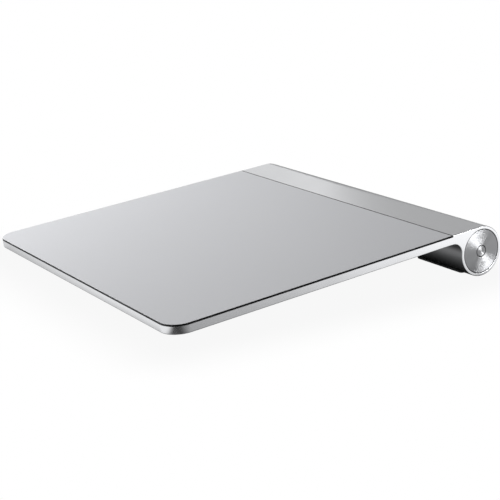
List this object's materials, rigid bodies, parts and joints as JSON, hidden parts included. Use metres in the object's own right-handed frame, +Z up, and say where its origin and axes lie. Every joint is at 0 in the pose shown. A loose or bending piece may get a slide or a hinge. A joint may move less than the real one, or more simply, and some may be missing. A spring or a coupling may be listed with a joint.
{
  "type": "trackpad",
  "caption": "Sloping square wireless trackpad: painted glass on a thin aluminium plate that runs into a round battery tube, with click feet in front and a power button in the tube's end.",
  "frame": {"origin": "middle of the footprint, on the desk", "axes": "+Z up from the desk, +Y from the front edge to the battery tube, +X to the power-button end"},
  "size_m": [0.13, 0.1315, 0.0183],
  "materials": {
    "anodised_aluminium": "bead-blasted, clear anodised, silver",
    "spun_aluminium": "face turned in fine circles, clear anodised",
    "painted_glass": "etched matte top over a pale grey painted back",
    "dark_adhesive": "dark acrylic bonding frame",
    "bonding_film": "clear bonding film",
    "circuit_board": "solder mask over copper",
    "chip_resin": "moulded chip resin",
    "shield_steel": "tinned shield can",
    "passive_ceramic": "ceramic with tinned ends",
    "connector_resin": "moulded connector resin",
    "flex_polyimide": "amber polyimide film",
    "led_lens": "clear lens over a green emitter",
    "contact_brass": "gold-plated spring brass",
    "spring_steel": "stamped spring steel",
    "foam": "open-cell foam",
    "white_acetal": "moulded acetal",
    "grey_rubber": "matte moulded rubber",
    "dark_plastic": "moulded nylon",
    "cell_jacket": null
  },
  "bodies": {
    "chassis": {"body_shell": "anodised_aluminium", "glass_plate": "painted_glass", "glass_adhesive": "dark_adhesive", "sensor_film": "bonding_film", "sensor_board": "circuit_board", "touch_controller": "chip_resin", "radio_module": "shield_steel", "board_passives": "passive_ceramic", "flex_connector": "connector_resin", "battery_flex": "flex_polyimide", "status_led": "led_lens", "ground_clip": "contact_brass", "foam_pads": "foam", "click_switches": "connector_resin", "click_dome_left": "spring_steel", "click_dome_right": "spring_steel", "rear_feet": "grey_rubber", "end_disc": "spun_aluminium", "power_dome": "spring_steel", "power_switch": "connector_resin", "power_board": "circuit_board", "contact_holder": "dark_plastic", "positive_contact": "contact_brass", "battery_sleeve": "dark_plastic", "battery_inner": "cell_jacket", "battery_outer": "cell_jacket"},
    "front_foot_left": {"foot_pad_left": "grey_rubber", "foot_plunger_left": "white_acetal", "foot_clip_left": "spring_steel"},
    "front_foot_right": {"foot_pad_right": "grey_rubber", "foot_plunger_right": "white_acetal", "foot_clip_right": "spring_steel"},
    "power_button": {"power_button": "spun_aluminium"},
    "cap_core": {"cap_insulator": "dark_plastic", "cap_contact_spring": "contact_brass"},
    "battery_cap": {"battery_cap": "anodised_aluminium"}
  },
  "joints": [
    {"name": "left_foot_press", "type": "slide", "parent": "chassis", "child": "front_foot_left", "axis": [0, -0.0993, 0.9951], "range_m": [0, 0.0003], "stiffness_N_per_m": 1500, "springref_m": -0.0012, "deforming": ["click_dome_left"]},
    {"name": "right_foot_press", "type": "slide", "parent": "chassis", "child": "front_foot_right", "axis": [0, -0.0993, 0.9951], "range_m": [0, 0.0003], "stiffness_N_per_m": 1500, "springref_m": -0.0012, "deforming": ["click_dome_right"]},
    {"name": "power_press", "type": "slide", "parent": "chassis", "child": "power_button", "axis": [-1, 0, 0], "range_m": [0, 0.0005], "stiffness_N_per_m": 500, "springref_m": -0.0006, "deforming": ["power_dome"]},
    {"name": "cap_travel", "type": "slide", "parent": "chassis", "child": "cap_core", "axis": [-1, 0, 0], "range_m": [0, 0.0165]},
    {"name": "cap_turn", "type": "hinge", "parent": "cap_core", "child": "battery_cap", "pos_m": [-0.061, 0.05694, 0.00945], "axis": [-1, 0, 0], "range_deg": [0, 3960]}
  ],
  "couplings": [
    {"joint": "cap_turn", "follows": "cap_travel", "rad_per_m": 4188.8}
  ]
}
